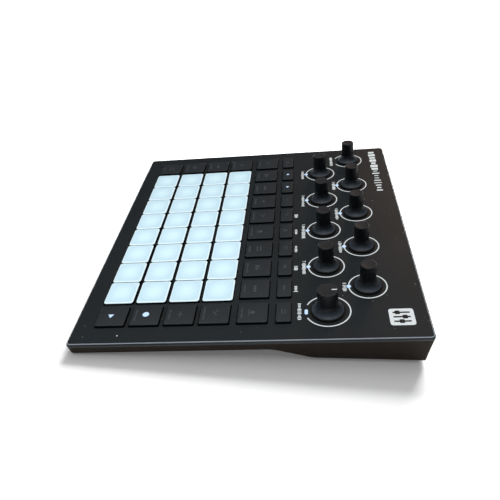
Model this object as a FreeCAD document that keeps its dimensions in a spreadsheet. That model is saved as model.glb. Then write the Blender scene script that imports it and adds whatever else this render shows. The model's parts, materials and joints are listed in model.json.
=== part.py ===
import FreeCAD, Part
import math
import os
import Sketcher

# A tabletop groove box: 32 lit pads, 28 keys and 10 knobs on a flat panel that leans up to the rear.
# Frame: +X to the right, +Y to the rear, +Z up, origin under the middle of the object on the table.
# Pieces are drawn in the panel's own frame (its centre on the top surface, Z along its normal),
# and place() turns them into the object's frame. Lengths are in millimetres, angles in degrees.

doc = FreeCAD.newDocument("PadGrooveBox")
sheet = doc.addObject("Spreadsheet::Sheet", "dims")

dimensions = {
    # case
    "panelWidth": 240, "panelDepth": 210, "panelThickness": 2.2, "panelCorner": 3, "edgeChamfer": 1,
    "tilt": 4.25, "panelHeight": 16.5, "baseClearance": 3, "sideDraft": 11,
    "wallThickness": 2, "floorThickness": 1.6,
    "frontDepth": 7.4, "slopeStart": 15.5, "slopeEnd": 38.2, "slopeRadius": 20,
    # keys
    "columnPitch": 21.4, "rowPitch": 21, "rowsCentre": -50.6, "sideColumn": 97.2,
    "trackRow": 3.6, "smallRow": 21.8,
    "padWidth": 20.6, "padDepth": 18.8, "padHeight": 1.6, "padRound": 0.7, "padCorner": 1.2,
    "keyWidth": 17.2, "keyDepth": 18.2, "smallDepth": 8.8, "keyHeight": 1.3, "keyRound": 0.35,
    "keyCorner": 0.8, "keyClearance": 0.4, "windowRecess": 0.9, "padSlotDepth": 19.7,
    "flangeTop": 2.45, "flangeBase": 2.95, "flangeRim": 0.7, "stemRadius": 2, "stemBase": 3.6,
    # mat and boards
    "matTop": 3.85, "boardTop": 4.5, "boardThickness": 1.2, "boardWidth": 212.6, "matHole": 2.6,
    "boardFront": -93.5, "boardRear": 31,
    "mainTop": 8.9, "mainThickness": 1.5, "mainWidth": 210, "mainFront": 40, "mainRear": 99,
    # knobs
    "lowerKnobs": 48.6, "upperKnobs": 72.9, "knobStart": -97.2, "filterX": 95.9, "filterY": 47.8,
    "knobHeight": 16.5, "knobRadius": 4.7, "skirtRadius": 8.8, "skirtTop": 1.3, "flareTop": 7.5,
    "filterHeight": 15.8, "filterRadius": 6, "filterSkirt": 10, "knobGap": 0.5, "knobRound": 0.6,
    "shaftRadius": 3, "shaftFit": 0.05, "shaftTop": 11, "shaftBase": 7.5, "shaftFlat": 2.3,
    "encoderWidth": 12.4, "encoderTop": 2.5, "bushingRadius": 3.75, "bushingTop": 0.3, "panelHole": 4.3,
    # rear sockets
    "jackFace": 100.2, "jackNose": 102.8, "jackAxis": -9.25, "jackBore": 3.25, "jackEnd": 74.5,
    "midiAxis": -10.6, "midiRadius": 7.55, "midiFront": 86, "midiBack": 99.4, "smallAxis": -7.2,
    "powerX": 76, "usbX": 56, "lockX": 95, "lockWidth": 7, "lockHeight": 3,
    "jackWidth": 13.4, "jackHeight": 12.4, "noseRadius": 5.3, "jackFloor": 1.5,
    "miniWidth": 7, "miniHeight": 6.4, "miniNose": 3.1, "miniBore": 1.8, "miniDepth": 13,
    "midiWidth": 18, "midiHeight": 15, "midiFaceDepth": 4, "ringOuter": 6.75, "ringInner": 5.5,
    "socketFloor": 95.2, "pinCircle": 3.75, "pinRadius": 0.8,
    "usbHalf": 2.85, "usbRadius": 1.65, "usbWall": 0.35, "usbRear": 95.6,
    "tongueWidth": 6.6, "tongueThickness": 0.7,
    "buttonWidth": 8, "buttonHeight": 4, "buttonCorner": 1, "buttonRound": 0.4, "buttonSeat": 100.1,
    "buttonLength": 4.8, "buttonFlange": 0.8, "buttonRim": 1,
    # inside
    "batteryWidth": 96, "batteryDepth": 33, "batteryX": 32, "batteryY": 61, "batteryBase": 14.2,
    "rearZoneFront": 95, "rearZoneDepth": 20, "rearZoneHeight": 16.8, "rearZoneBase": 19,
    # fastening and feet
    "screwRadius": 1.2, "screwHead": 2.4, "headThickness": 1.5, "columnRadius": 4.2, "bossRadius": 3,
    "footRadius": 7, "footX": 96, "footFront": -92, "footRear": 88,
}
for row, (alias, number) in enumerate(dimensions.items(), start=1):
    sheet.set("A%d" % row, alias)
    sheet.set("B%d" % row, str(number))
    sheet.setAlias("B%d" % row, alias)
doc.recompute()

tiltSin = "sin(dims.tilt * 1 deg)"
tiltCos = "cos(dims.tilt * 1 deg)"
# Keeps the origin midway between the front and rear of the leaning panel.
originShift = "-(dims.panelThickness + dims.edgeChamfer) / 2 * " + tiltSin


def value(expression):
    result = sheet.evalExpression(str(expression))
    return float(getattr(result, "Value", result))


# x, y and z are in the panel's frame; turn is a further turn about X.
def place(piece, x="0", y="0", z="0", turn="0"):
    piece.Placement = FreeCAD.Placement(FreeCAD.Vector(), FreeCAD.Rotation(FreeCAD.Vector(1, 0, 0), 1))
    piece.setExpression("Placement.Rotation.Angle", "(dims.tilt + (%s)) * 1 deg" % turn)
    piece.setExpression("Placement.Base.x", str(x))
    leaned = "(%s) * %s - (%s) * %s + %s" % (y, tiltCos, z, tiltSin, originShift)
    raised = "(%s) * %s + (%s) * %s + dims.panelHeight" % (y, tiltSin, z, tiltCos)
    piece.setExpression("Placement.Base.y", leaned)
    piece.setExpression("Placement.Base.z", raised)
    return piece


# ---- sketches ----

def newSketch(body, plane="XY_Plane", offset=None):
    sketch = body.newObject("Sketcher::SketchObject", body.Name + "Sketch")
    support = [feature for feature in body.Origin.OriginFeatures if feature.Role == plane]
    sketch.AttachmentSupport = [(support[0], "")]
    sketch.MapMode = "FlatFace"
    if offset:
        sketch.setExpression("AttachmentOffset.Base.z", offset)
    return sketch


quarterTurn = math.pi / 2


def bind(sketch, constraint, expression):
    index = sketch.addConstraint(constraint)
    sketch.setExpression("Constraints[%d]" % index, str(expression))


def fixPoint(sketch, geometry, point, x, y):
    bind(sketch, Sketcher.Constraint("DistanceX", -1, 1, geometry, point, value(x)), x)
    bind(sketch, Sketcher.Constraint("DistanceY", -1, 1, geometry, point, value(y)), y)


# A closed outline of straight edges through the given points.
def outline(sketch, points):
    corners = [FreeCAD.Vector(value(x), value(y), 0) for x, y in points]
    for index, corner in enumerate(corners):
        sketch.addGeometry(Part.LineSegment(corner, corners[(index + 1) % len(corners)]))
    for index, (x, y) in enumerate(points):
        following = (index + 1) % len(points)
        sketch.addConstraint(Sketcher.Constraint("Coincident", index, 2, following, 1))
        fixPoint(sketch, index, 1, x, y)


def circle(sketch, radius, x="0", y="0"):
    centre = FreeCAD.Vector(value(x), value(y), 0)
    index = sketch.addGeometry(Part.Circle(centre, FreeCAD.Vector(0, 0, 1), value(radius)))
    fixPoint(sketch, index, 3, x, y)
    bind(sketch, Sketcher.Constraint("Radius", index, value(radius)), radius)


# A rectangle centred on x, y with its four corners rounded.
def roundedRectangle(sketch, width, depth, radius, x="0", y="0"):
    halfX, halfY, r = value(width) / 2, value(depth) / 2, value(radius)
    centre = FreeCAD.Vector(value(x), value(y), 0)
    signs = [(1, 1), (-1, 1), (-1, -1), (1, -1)]
    axis = FreeCAD.Vector(0, 0, 1)
    for quarter, (signX, signY) in enumerate(signs):
        middle = centre + FreeCAD.Vector(signX * (halfX - r), signY * (halfY - r), 0)
        start = quarter * quarterTurn
        sketch.addGeometry(Part.ArcOfCircle(Part.Circle(middle, axis, r), start, start + quarterTurn))
    for quarter in range(4):
        following = (quarter + 1) % 4
        line = Part.LineSegment(sketch.getPoint(quarter, 2), sketch.getPoint(following, 1))
        index = sketch.addGeometry(line)
        sketch.addConstraint(Sketcher.Constraint("Tangent", quarter, 2, index, 1))
        sketch.addConstraint(Sketcher.Constraint("Tangent", index, 2, following, 1))
    bind(sketch, Sketcher.Constraint("Radius", 0, r), radius)
    for quarter, (signX, signY) in enumerate(signs):
        if quarter:
            sketch.addConstraint(Sketcher.Constraint("Equal", 0, quarter))
        middleX = "(%s) + %d * ((%s) / 2 - (%s))" % (x, signX, width, radius)
        middleY = "(%s) + %d * ((%s) / 2 - (%s))" % (y, signY, depth, radius)
        fixPoint(sketch, quarter, 3, middleX, middleY)


# ---- features ----

def newBody(name):
    body = doc.addObject("PartDesign::Body", name)
    body.Label = name
    return body


def pad(body, sketch, length, downwards=False, taper=None, middle=False):
    feature = body.newObject("PartDesign::Pad", body.Name + "Pad")
    feature.Profile = sketch
    feature.setExpression("Length", length)
    feature.Reversed = downwards
    if middle:
        feature.SideType = "Symmetric"
    if taper:
        feature.setExpression("TaperAngle", taper)
    sketch.Visibility = False
    return feature


def pocket(body, sketch, length, upwards=False):
    feature = body.newObject("PartDesign::Pocket", body.Name + "Pocket")
    feature.Profile = sketch
    feature.setExpression("Length", length)
    feature.Reversed = upwards
    return feature


# Repeats a feature along one of its sketch's axes.
def repeat(body, feature, sketch, axis, count, step):
    pattern = body.newObject("PartDesign::LinearPattern", body.Name + "Pattern")
    pattern.Originals = [feature]
    pattern.Direction = (sketch, [axis])
    pattern.Mode = "Spacing"
    pattern.Occurrences = count
    pattern.setExpression("Offset", step)
    body.Tip = pattern
    return pattern


# Rounds or bevels the edges for which keep() is true.
def soften(body, kind, feature, keep, setting, expression):
    doc.recompute()
    names = ["Edge%d" % (i + 1) for i, edge in enumerate(feature.Shape.Edges) if keep(edge.BoundBox)]
    softened = body.newObject("PartDesign::" + kind, body.Name + kind)
    softened.Base = (feature, names)
    softened.setExpression(setting, expression)
    return softened


def cylinder(name, radius, height, x="0", y="0", z="0", turn="0"):
    piece = doc.addObject("Part::Cylinder", name)
    piece.setExpression("Radius", radius)
    piece.setExpression("Height", height)
    return place(piece, x, y, z, turn)


# A block centred on x, from y to y + depth and from z to z + height.
def block(name, width, depth, height, x="0", y="0", z="0"):
    piece = doc.addObject("Part::Box", name)
    for setting, expression in (("Length", width), ("Width", depth), ("Height", height)):
        piece.setExpression(setting, expression)
    return place(piece, "(%s) - (%s) / 2" % (x, width), y, z)


def join(name, pieces):
    joined = doc.addObject("Part::MultiFuse", name)
    joined.Shapes = pieces
    return joined


def cut(name, base, tools):
    result = doc.addObject("Part::Cut", name)
    result.Base = base
    result.Tool = tools[0] if len(tools) == 1 else join(name + "Tools", tools)
    return result


def common(name, first, second):
    result = doc.addObject("Part::Common", name)
    result.Base = first
    result.Tool = second
    return result


nodes = []


# Gives a finished piece, or several that share a node, the name of its file.
def node(name, pieces):
    piece = pieces[0]
    if len(pieces) > 1:
        piece = doc.addObject("Part::Compound", name)
        piece.Links = pieces
    piece.Label = name
    nodes.append(piece)


# ---- keys and pads ----

# One cap with the flange that holds it under the panel and the stem that meets the board.
def makeKey(name, width, depth, height, edgeRound, corner, x, y, flangeWidth, flangeDepth):
    body = newBody(name)
    capSketch = newSketch(body, offset="-dims.flangeBase")
    roundedRectangle(capSketch, width, depth, corner)
    cap = pad(body, capSketch, "dims.flangeBase + " + height)
    top = value(height)
    soften(body, "Fillet", cap, lambda box: box.ZMin > top - 0.01, "Radius", edgeRound)
    flangeSketch = newSketch(body, offset="-dims.flangeBase")
    roundedRectangle(flangeSketch, flangeWidth, flangeDepth, corner)
    pad(body, flangeSketch, "dims.flangeBase - dims.flangeTop")
    stemSketch = newSketch(body, offset="-dims.stemBase")
    circle(stemSketch, "dims.stemRadius")
    pad(body, stemSketch, "dims.stemBase - dims.flangeBase")
    return place(body, x, y)


def makeButton(name, depth, x, y):
    return makeKey(name, "dims.keyWidth", depth, "dims.keyHeight", "dims.keyRound", "dims.keyCorner", x, y,
                   "dims.keyWidth + 2 * dims.flangeRim", depth + " + 2 * dims.flangeRim")


def columnX(column):
    return "%s * dims.columnPitch" % (column - 3.5)


def rowY(row):
    return "dims.rowsCentre + %s * dims.rowPitch" % (row - 1.5)


def makeKeys():
    for row in range(4):
        for column in range(8):
            name = "pad_row%d_col%d" % (row + 1, column + 1)
            key = makeKey(name, "dims.padWidth", "dims.padDepth", "dims.padHeight", "dims.padRound",
                          "dims.padCorner", columnX(column), rowY(row), "dims.padWidth",
                          "dims.padDepth + 2 * dims.flangeRim")
            node(name, [key])
    for side, sideX in (("left", "-dims.sideColumn"), ("right", "dims.sideColumn")):
        places = [(rowY(row), "dims.keyDepth") for row in range(4)]
        places += [("dims.trackRow", "dims.keyDepth"), ("dims.smallRow", "dims.smallDepth")]
        keys = [makeButton("%sKey%d" % (side, index + 1), depth, sideX, y)
                for index, (y, depth) in enumerate(places)]
        node(side + "_buttons", keys)
    for name, y, depth in (("track", "dims.trackRow", "dims.keyDepth"),
                           ("small", "dims.smallRow", "dims.smallDepth")):
        node(name + "_buttons", [makeButton("%sKey%d" % (name, column + 1), depth, columnX(column), y)
                                 for column in range(8)])


# ---- knobs ----

# Half of the knob's section: a flat rim, a hollow flare up to a straight barrel, and a bore from below.
def knobSection(sketch, radius, skirt, height):
    rim = ("dims.knobGap", "dims.skirtTop")
    bottomInner = ("dims.shaftRadius", rim[0])
    points = [bottomInner, (skirt, rim[0]), (skirt, rim[1]), (radius, "dims.flareTop"), (radius, height),
              ("0", height), ("0", "dims.shaftTop"), ("dims.shaftRadius", "dims.shaftTop")]
    corners = [FreeCAD.Vector(value(x), value(y), 0) for x, y in points]
    run, rise = value(skirt) - value(radius), value("dims.flareTop - dims.skirtTop")
    bend = (run * run + rise * rise) / (2 * run)
    middle = FreeCAD.Vector(value(radius) + bend, value("dims.flareTop"), 0)
    halfway = (corners[2] + corners[3]) / 2 - middle
    flare = Part.Arc(corners[2], middle + halfway * (bend / halfway.Length), corners[3])
    for index, corner in enumerate(corners):
        following = corners[(index + 1) % len(corners)]
        sketch.addGeometry(flare if index == 2 else Part.LineSegment(corner, following))
    # The flare's arc is stored from the barrel down to the rim, so its ends are the other way round.
    ends = {index: (1, 2) for index in range(len(points))}
    ends[2] = (2, 1)
    for index, (x, y) in enumerate(points):
        following = (index + 1) % len(points)
        sketch.addConstraint(
            Sketcher.Constraint("Coincident", index, ends[index][1], following, ends[following][0]))
        fixPoint(sketch, index, ends[index][0], x, y)
    bendRule = "(({0}) ^ 2 + ({1}) ^ 2) / (2 * ({0}))"
    across, climb = "%s - %s" % (skirt, radius), "dims.flareTop - dims.skirtTop"
    bind(sketch, Sketcher.Constraint("Radius", 2, bend), bendRule.format(across, climb))


def makeKnob(name, radius, skirt, height, x, y):
    cap = newBody(name + "Cap")
    section = newSketch(cap, "XZ_Plane")
    knobSection(section, radius, skirt, height)
    turned = cap.newObject("PartDesign::Revolution", name + "Turned")
    turned.Profile = section
    turned.ReferenceAxis = (section, ["V_Axis"])
    turned.Angle = 360
    top = value(height)
    soften(cap, "Fillet", turned, lambda box: box.ZMin > top - 0.01, "Radius", "dims.knobRound")
    place(cap, x, y)
    shaft = newBody(name + "Shaft")
    rod = newSketch(shaft, offset="-dims.shaftBase")
    circle(rod, "dims.shaftRadius")
    pad(shaft, rod, "dims.shaftBase + dims.shaftTop")
    flat = newSketch(shaft, offset="dims.shaftTop")
    outline(flat, [("dims.shaftFlat", "-dims.shaftRadius"), ("dims.shaftRadius + 1", "-dims.shaftRadius"),
                   ("dims.shaftRadius + 1", "dims.shaftRadius"), ("dims.shaftFlat", "dims.shaftRadius")])
    pocket(shaft, flat, "dims.shaftTop - dims.knobGap")
    place(shaft, x, y)
    node(name, [cap, shaft])


# Every knob's name and place on the panel, from left to right in each row.
def knobPlaces():
    places = {"volume_knob": ("dims.knobStart", "dims.upperKnobs")}
    for index in range(8):
        x = "dims.knobStart + %d * dims.columnPitch" % (index + 1)
        places["macro_knob_%d" % (index + 1)] = (x, "dims.upperKnobs" if index % 2 else "dims.lowerKnobs")
    places["filter_knob"] = ("dims.filterX", "dims.filterY")
    return places


def makeKnobs():
    encoders = []
    for index, (name, (x, y)) in enumerate(knobPlaces().items()):
        if name == "filter_knob":
            makeKnob(name, "dims.filterRadius", "dims.filterSkirt", "dims.filterHeight", x, y)
        else:
            makeKnob(name, "dims.knobRadius", "dims.skirtRadius", "dims.knobHeight", x, y)
        tag = "encoder%d" % (index + 1)
        housing = block(tag + "Housing", "dims.encoderWidth", "dims.encoderWidth",
                        "dims.mainTop - dims.encoderTop", x, "%s - dims.encoderWidth / 2" % y,
                        "-dims.mainTop")
        bushing = cylinder(tag + "Bushing", "dims.bushingRadius", "dims.mainTop - dims.bushingTop - 1",
                           x, y, "1 - dims.mainTop")
        bore = cylinder(tag + "Bore", "dims.shaftRadius + dims.shaftFit", "dims.mainTop",
                        x, y, "-dims.shaftBase - 0.3")
        encoders.append(cut(tag, join(tag + "Solid", [housing, bushing]), [bore]))
    node("encoder_bodies", encoders)


# ---- case ----

# Place, underside of the head and length of each case screw, then the height where boss meets column.
def screwPlaces():
    short = ("-5.6", "4.5", "-3.8")
    long = ("-15.6", "10", "-12")
    return [("-110.5", "-97.5", *short), ("0", "-98.5", *short), ("110.5", "-97.5", *short),
            ("-110.5", "0", *short), ("110.5", "0", *short), ("-110.5", "84", *long), ("110.5", "84", *long)]


def makeTopCase():
    body = newBody("topPlate")
    plate = newSketch(body)
    roundedRectangle(plate, "dims.panelWidth", "dims.panelDepth", "dims.panelCorner")
    slab = pad(body, plate, "dims.panelThickness", downwards=True)
    soften(body, "Chamfer", slab, lambda box: box.ZMin > -0.01, "Size", "dims.edgeChamfer")

    def opening(width, depth, corner, x, y, count=1, step=None, deep="dims.panelThickness"):
        sketch = newSketch(body)
        roundedRectangle(sketch, width, depth, corner, x, y)
        hole = pocket(body, sketch, deep)
        if count > 1:
            repeat(body, hole, sketch, "H_Axis", count, step)

    windowWidth = "7 * dims.columnPitch + dims.padWidth + 2 * dims.keyClearance"
    windowDepth = "3 * dims.rowPitch + dims.padSlotDepth"
    opening(windowWidth, windowDepth, "dims.padCorner", "0", "dims.rowsCentre", deep="dims.windowRecess")
    slot = newSketch(body)
    roundedRectangle(slot, windowWidth, "dims.padSlotDepth", "dims.padCorner", "0", rowY(0))
    repeat(body, pocket(body, slot, "dims.panelThickness"), slot, "V_Axis", 4, "dims.rowPitch")

    width = "dims.keyWidth + 2 * dims.keyClearance"
    deepKey = "dims.keyDepth + 2 * dims.keyClearance"
    deepSmall = "dims.smallDepth + 2 * dims.keyClearance"
    across = "2 * dims.sideColumn"
    for y in [rowY(row) for row in range(4)] + ["dims.trackRow"]:
        opening(width, deepKey, "dims.keyCorner", "-dims.sideColumn", y, 2, across)
    opening(width, deepSmall, "dims.keyCorner", "-dims.sideColumn", "dims.smallRow", 2, across)
    for y, deep in (("dims.trackRow", deepKey), ("dims.smallRow", deepSmall)):
        opening(width, deep, "dims.keyCorner", columnX(0), y, 8, "dims.columnPitch")
    holes = newSketch(body)
    for x, y in knobPlaces().values():
        circle(holes, "dims.panelHole", x, y)
    pocket(body, holes, "dims.panelThickness")
    place(body)

    bosses, pilots = [], []
    for index, (x, y, seat, length, meeting) in enumerate(screwPlaces()):
        bosses.append(cylinder("boss%d" % index, "dims.bossRadius", "-(%s) - 1.5" % meeting, x, y, meeting))
        pilots.append(cylinder("pilot%d" % index, "dims.screwRadius", "%s + 0.1" % length, x, y, seat))
    node("top_case", [cut("topCase", join("topBossed", [body] + bosses), pilots)])


# The case's outside or, with a wall and a lift, the hollow inside it.
def caseSolid(name, wall, lift):
    body = newBody(name + "Taper")
    rim = newSketch(body, offset="-dims.panelThickness")
    roundedRectangle(rim, "dims.panelWidth - 2 * (%s)" % wall, "dims.panelDepth - 2 * (%s)" % wall,
                     "dims.panelCorner")
    pad(body, rim, "20", downwards=True, taper="-dims.sideDraft * 1 deg")
    place(body)
    side = newBody(name + "Side")
    profile = newSketch(side, "YZ_Plane")

    def baseZ(y):
        drop = "(dims.panelHeight - dims.baseClearance) / " + tiltCos
        return "-%s - (%s) * tan(dims.tilt * 1 deg) + (%s)" % (drop, y, lift)

    front, rear = "-dims.panelDepth / 2 - 1", "dims.panelDepth / 2 + 1"
    low = "-dims.frontDepth + (%s)" % lift
    outline(profile, [(front, "-dims.panelThickness"), (front, low), ("dims.slopeStart", low),
                      ("dims.slopeEnd", baseZ("dims.slopeEnd")), (rear, baseZ(rear)),
                      (rear, "-dims.panelThickness")])
    slab = pad(side, profile, "dims.panelWidth + 2", middle=True)
    bends = [value("dims.slopeStart"), value("dims.slopeEnd")]
    soften(side, "Fillet", slab,
           lambda box: box.YLength < 0.01 and min(abs(box.YMin - bend) for bend in bends) < 0.01,
           "Radius", "dims.slopeRadius")
    place(side)
    return common(name, body, side)


def makeLowerCase():
    outside = caseSolid("outside", "0", "0")
    inside = caseSolid("inside", "dims.wallThickness", "dims.floorThickness")
    shell = cut("shell", outside, [inside])
    def rearBlock(name):
        return block(name, "dims.mainWidth", "dims.rearZoneDepth", "dims.rearZoneHeight", "0",
                     "dims.rearZoneFront", "-dims.rearZoneBase")

    columns, sinks = [], []
    for index, (x, y, seat, length, meeting) in enumerate(screwPlaces()):
        columns.append(cylinder("column%d" % index, "dims.columnRadius", "30 + (%s)" % meeting, x, y, "-30"))
        sinks.append(cylinder("sink%d" % index, "dims.screwHead + 0.2", "30 + (%s)" % seat, x, y, "-30"))
        sinks.append(cylinder("passage%d" % index, "dims.screwRadius + 0.3", "20", x, y, "-20"))
    openTub = cut("tubOpen", shell, [rearBlock("rearZone")])
    tub = common("tub", join("tubColumns", [openTub] + columns), outside)
    node("bottom_case", [cut("bottomCase", tub, sinks)])

    plate = common("rearPlate", shell, rearBlock("rearSlice"))
    holes = [cylinder("hole" + name, radius, "20", x, "90", z, "-90") for name, radius, x, z in rearHoles()]
    buttonHole = ("dims.buttonWidth + 0.6", "dims.buttonHeight + 0.6")
    for name, (wide, high), x in (("usbHole", ("9.6", "3.8"), "dims.usbX"),
                                  ("powerHole", buttonHole, "dims.powerX"),
                                  ("lockHole", ("dims.lockWidth", "dims.lockHeight"), "dims.lockX")):
        holes.append(block(name, wide, "20", high, x, "90", "dims.smallAxis - (%s) / 2" % high))
    node("rear_panel", [cut("rearPanel", plate, holes)])

    feet = []
    for index, (signX, y) in enumerate(((-1, "dims.footFront"), (1, "dims.footFront"),
                                        (-1, "dims.footRear"), (1, "dims.footRear"))):
        foot = doc.addObject("Part::Cylinder", "footBlank%d" % index)
        foot.setExpression("Radius", "dims.footRadius")
        foot.setExpression("Height", "2 * dims.baseClearance")
        foot.setExpression("Placement.Base.x", "%d * dims.footX" % signX)
        foot.setExpression("Placement.Base.y", y)
        feet.append(cut("foot%d" % index, foot, [outside]))
    node("feet", feet)

    screws = []
    for index, (x, y, seat, length, meeting) in enumerate(screwPlaces()):
        head = cylinder("head%d" % index, "dims.screwHead", "dims.headThickness", x, y,
                        seat + " - dims.headThickness")
        shank = cylinder("shank%d" % index, "dims.screwRadius", length, x, y, seat)
        drive = cylinder("drive%d" % index, "0.9", "0.9", x, y, seat + " - dims.headThickness")
        screws.append(cut("screw%d" % index, join("screwSolid%d" % index, [head, shank]), [drive]))
    node("case_screws", screws)
    return outside


# ---- inside ----

def makeInside():
    width = "dims.boardWidth"
    depth = "dims.boardRear - dims.boardFront"
    middle = "(dims.boardRear + dims.boardFront) / 2"
    mat = newBody("key_mat")
    sheetSketch = newSketch(mat, offset="-dims.matTop")
    roundedRectangle(sheetSketch, width, depth, "2", "0", middle)
    pad(mat, sheetSketch, "dims.boardTop - dims.matTop", downwards=True)
    holes = newSketch(mat, offset="-dims.matTop")
    for y in [rowY(row) for row in range(4)] + ["dims.trackRow", "dims.smallRow"]:
        for x in [columnX(column) for column in range(8)] + ["-dims.sideColumn", "dims.sideColumn"]:
            circle(holes, "dims.matHole", x, y)
    pocket(mat, holes, "dims.boardTop - dims.matTop")
    node("key_mat", [place(mat)])

    board = newBody("key_board")
    boardSketch = newSketch(board, offset="-dims.boardTop")
    roundedRectangle(boardSketch, width, depth, "2", "0", middle)
    pad(board, boardSketch, "dims.boardThickness", downwards=True)
    node("key_board", [place(board)])

    plate = block("mainPlate", "dims.mainWidth", "dims.mainRear - dims.mainFront", "dims.mainThickness",
                  "0", "dims.mainFront", "-dims.mainTop - dims.mainThickness")
    notches = []
    rows = (("Midi", "dims.midiWidth", "dims.midiFront", midiPlaces()),
            ("Line", "dims.jackWidth", "dims.jackEnd - dims.jackFloor", linePlaces()),
            ("Mini", "dims.miniWidth", "dims.jackFace - dims.miniDepth", miniPlaces()))
    for tag, wide, front, places in rows:
        notches += [block("notch%s%d" % (tag, i), wide, "40", "10", x, front, "-15")
                    for i, x in enumerate(places)]
    cutBoard = cut("mainCut", plate, notches)
    chips = [block("processor", "14", "14", "1.4", "8", "56", "-dims.mainTop"),
             block("codec", "7", "7", "1", "-36", "58", "-dims.mainTop"),
             block("memory", "8", "12", "1.1", "-18", "54", "-dims.mainTop"),
             block("powerSwitch", "7", "5", "4.2", "dims.powerX", "93.6", "-dims.mainTop")]
    node("main_board", [join("mainBoard", [cutBoard] + chips)])

    cell = newBody("battery_pack")
    cellSketch = newSketch(cell, offset="-dims.batteryBase")
    roundedRectangle(cellSketch, "dims.batteryWidth", "dims.batteryDepth", "2", "dims.batteryX",
                     "dims.batteryY")
    pad(cell, cellSketch, "dims.batteryBase - dims.mainTop - dims.mainThickness")
    node("battery_pack", [place(cell)])


# ---- rear sockets ----

def midiPlaces():
    return ["-8", "12", "32"]


def linePlaces():
    return ["-83.2", "-68.6", "-40.3", "-25.7"]


def miniPlaces():
    return ["-98", "-54.5"]


# Name, radius, x and z of each round hole in the rear panel.
def rearHoles():
    holes = [("Midi%d" % i, "dims.midiRadius + 0.1", x, "dims.midiAxis") for i, x in enumerate(midiPlaces())]
    holes += [("Line%d" % i, "5.4", x, "dims.jackAxis") for i, x in enumerate(linePlaces())]
    holes += [("Mini%d" % i, "3.2", x, "dims.jackAxis") for i, x in enumerate(miniPlaces())]
    return holes


# A block behind the panel with a round nose, trimmed flush with the case, and a blind bore for the plug.
def makeJack(name, width, height, rear, noseRadius, boreRadius, x, outside):
    body = block(name + "Block", width, "dims.jackFace - (%s)" % rear, height, x, rear,
                 "dims.jackAxis - (%s) / 2" % height)
    nose = cylinder(name + "Nose", noseRadius, "dims.jackNose - dims.jackFace + 2", x, "dims.jackFace - 2",
                    "dims.jackAxis", "-90")
    bore = cylinder(name + "Bore", boreRadius, "dims.jackNose - (%s)" % rear, x, "%s + dims.jackFloor" % rear,
                    "dims.jackAxis", "-90")
    return common(name, cut(name + "Bored", join(name + "Solid", [body, nose]), [bore]), outside)


def makeSockets(outside):
    line = ("dims.jackWidth", "dims.jackHeight", "dims.jackEnd - dims.jackFloor", "dims.noseRadius",
            "dims.jackBore")
    mini = ("dims.miniWidth", "dims.miniHeight", "dims.jackFace - dims.miniDepth", "dims.miniNose",
            "dims.miniBore")
    jacks = [makeJack("lineJack%d" % i, *line, x, outside) for i, x in enumerate(linePlaces())]
    jacks += [makeJack("miniJack%d" % i, *mini, x, outside) for i, x in enumerate(miniPlaces())]
    node("audio_jacks", jacks)

    sockets = []
    for index, x in enumerate(midiPlaces()):
        tag = "midi%d" % index
        body = block(tag + "Block", "dims.midiWidth", "dims.midiBack - dims.midiFront", "dims.midiHeight",
                     x, "dims.midiFront", "dims.midiAxis - dims.midiHeight / 2")
        face = cylinder(tag + "Face", "dims.midiRadius", "7", x, "dims.jackFace - dims.midiFaceDepth",
                        "dims.midiAxis", "-90")
        outer = cylinder(tag + "Outer", "dims.ringOuter", "9", x, "dims.socketFloor", "dims.midiAxis", "-90")
        inner = cylinder(tag + "Inner", "dims.ringInner", "20", x, "90", "dims.midiAxis", "-90")
        ring = cut(tag + "Ring", outer, [inner])
        holes = [ring]
        # Five pin holes on a half circle, 45 degrees apart.
        for pin in range(5):
            pinX = "(%s) + dims.pinCircle * cos(%d deg)" % (x, 45 * pin)
            pinZ = "dims.midiAxis + dims.pinCircle * sin(%d deg)" % (45 * pin)
            holes.append(cylinder("%sPin%d" % (tag, pin), "dims.pinRadius", "9", pinX, "dims.socketFloor",
                                  pinZ, "-90"))
        holed = cut(tag + "Holed", join(tag + "Solid", [body, face]), holes)
        sockets.append(common(tag, holed, outside))
    node("midi_sockets", sockets)

    def slotted(name, radius, rear, length):
        ends = [cylinder("%sEnd%d" % (name, side + 1), radius, length, "dims.usbX + %d * dims.usbHalf" % side,
                         rear, "dims.smallAxis", "-90") for side in (-1, 1)]
        centre = block(name + "Middle", "2 * dims.usbHalf", length, "2 * (%s)" % radius, "dims.usbX", rear,
                       "dims.smallAxis - (%s)" % radius)
        return join(name, ends + [centre])

    shell = slotted("usbShell", "dims.usbRadius", "dims.usbRear", "8")
    cavity = slotted("usbCavity", "dims.usbRadius - dims.usbWall", "dims.usbRear + 1.4", "8")
    tongue = block("usbTongue", "dims.tongueWidth", "6", "dims.tongueThickness", "dims.usbX",
                   "dims.usbRear + 0.9", "dims.smallAxis - dims.tongueThickness / 2")
    node("usb_socket", [join("usbSocket", [cut("usbOpen", shell, [cavity]), tongue])])

    button = newBody("power_button")
    capSketch = newSketch(button, "XZ_Plane")
    roundedRectangle(capSketch, "dims.buttonWidth", "dims.buttonHeight", "dims.buttonCorner")
    cap = pad(button, capSketch, "dims.buttonLength", downwards=True)
    tip = value("dims.buttonLength")
    soften(button, "Fillet", cap, lambda box: box.YMin > tip - 0.01, "Radius", "dims.buttonRound")
    flange = newSketch(button, "XZ_Plane")
    roundedRectangle(flange, "dims.buttonWidth + 2 * dims.buttonRim", "dims.buttonHeight + 1.6",
                     "dims.buttonCorner")
    pad(button, flange, "dims.buttonFlange", downwards=True)
    place(button, "dims.powerX", "dims.buttonSeat", "dims.smallAxis")
    node("power_button", [button])


makeKeys()
makeKnobs()
makeTopCase()
caseOutside = makeLowerCase()
makeInside()
makeSockets(caseOutside)
doc.recompute()

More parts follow.
